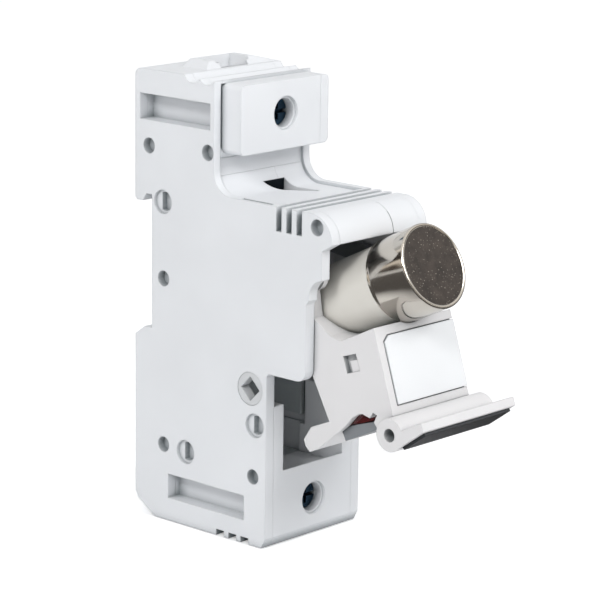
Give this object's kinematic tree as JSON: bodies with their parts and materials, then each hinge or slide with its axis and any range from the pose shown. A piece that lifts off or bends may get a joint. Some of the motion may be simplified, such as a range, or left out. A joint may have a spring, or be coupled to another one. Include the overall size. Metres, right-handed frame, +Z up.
{
  "type": "fuse disconnector",
  "caption": "Rail-mounted disconnector whose handled tray swings out with a cylindrical fuse; cage clamps above and below take the cables.",
  "frame": {"origin": "middle of the face that seats on the rail, at the rail's centre height and the housing's mid width", "axes": "+X to the right seen from the front, +Y back towards the rail, +Z up; the front faces -Y"},
  "size_m": [0.036, 0.0998, 0.122],
  "materials": {
    "shell": "satin moulded",
    "tray": "satin moulded",
    "bush": "satin moulded",
    "dark_plate": "satin moulded",
    "lens": "clear gloss",
    "clip": "satin moulded",
    "steel": "zinc plated",
    "screw": "blued zinc plated",
    "contact": "silver plated",
    "ceramic": "glazed ceramic",
    "cap": "nickel plated"
  },
  "bodies": {
    "housing": {"left_shell": "shell", "right_cover": "shell", "upper_housing": "shell", "rail_base": "shell", "nose_hood": "shell", "lower_housing": "shell", "shell_pins": "shell", "coupling_bush": "bush", "upper_contact": "contact", "upper_jaw_spring": "steel", "lower_contact": "contact", "lower_jaw_spring": "steel", "arm_pins": "steel", "clip_spring": "steel"},
    "arms": {"swing_arms": "steel"},
    "carrier": {"tray": "tray", "handle": "tray", "tilt_pins": "steel", "label_panel": "tray", "front_plate": "dark_plate", "flap_plate": "dark_plate", "indicator_lens": "lens", "fuse_tube": "ceramic", "fuse_cap_front": "cap", "fuse_cap_rear": "cap"},
    "clip": {"rail_clip": "clip"},
    "upper_clamp": {"upper_cage": "steel"},
    "upper_driver": {"upper_screw": "screw"},
    "lower_clamp": {"lower_cage": "steel"},
    "lower_driver": {"lower_screw": "screw"}
  },
  "joints": [
    {"name": "tray_swing", "type": "hinge", "parent": "housing", "child": "arms", "pos_m": [0, -0.02979, 0.00691], "axis": [1, 0, 0], "range_deg": [0, 118.1]},
    {"name": "tray_tilt", "type": "hinge", "parent": "arms", "child": "carrier", "pos_m": [0, -0.05273, 0.00409], "axis": [1, 0, 0], "range_deg": [-182.08, 0]},
    {"name": "clip_pull", "type": "slide", "parent": "housing", "child": "clip", "axis": [0, 0, -1], "range_m": [0, 0.0045], "stiffness_N_per_m": 1500, "springref_m": -0.001, "deforming": ["clip_spring"]},
    {"name": "upper_clamp_slide", "type": "slide", "parent": "housing", "child": "upper_clamp", "axis": [0, -1, 0], "range_m": [0, 0.006]},
    {"name": "upper_screw_turn", "type": "hinge", "parent": "housing", "child": "upper_driver", "pos_m": [0.0018, -0.0227, 0.0409], "axis": [0, 1, 0], "range_deg": [0, 2161]},
    {"name": "lower_clamp_slide", "type": "slide", "parent": "housing", "child": "lower_clamp", "axis": [0, -1, 0], "range_m": [0, 0.006]},
    {"name": "lower_screw_turn", "type": "hinge", "parent": "housing", "child": "lower_driver", "pos_m": [0.0005, -0.0355, -0.059], "axis": [0, 1, 0], "range_deg": [0, 2161]}
  ],
  "couplings": [
    {"joint": "tray_swing", "follows": "tray_tilt", "ratio": -0.64851},
    {"joint": "upper_screw_turn", "follows": "upper_clamp_slide", "rad_per_m": 6283.2},
    {"joint": "lower_screw_turn", "follows": "lower_clamp_slide", "rad_per_m": 6283.2}
  ]
}
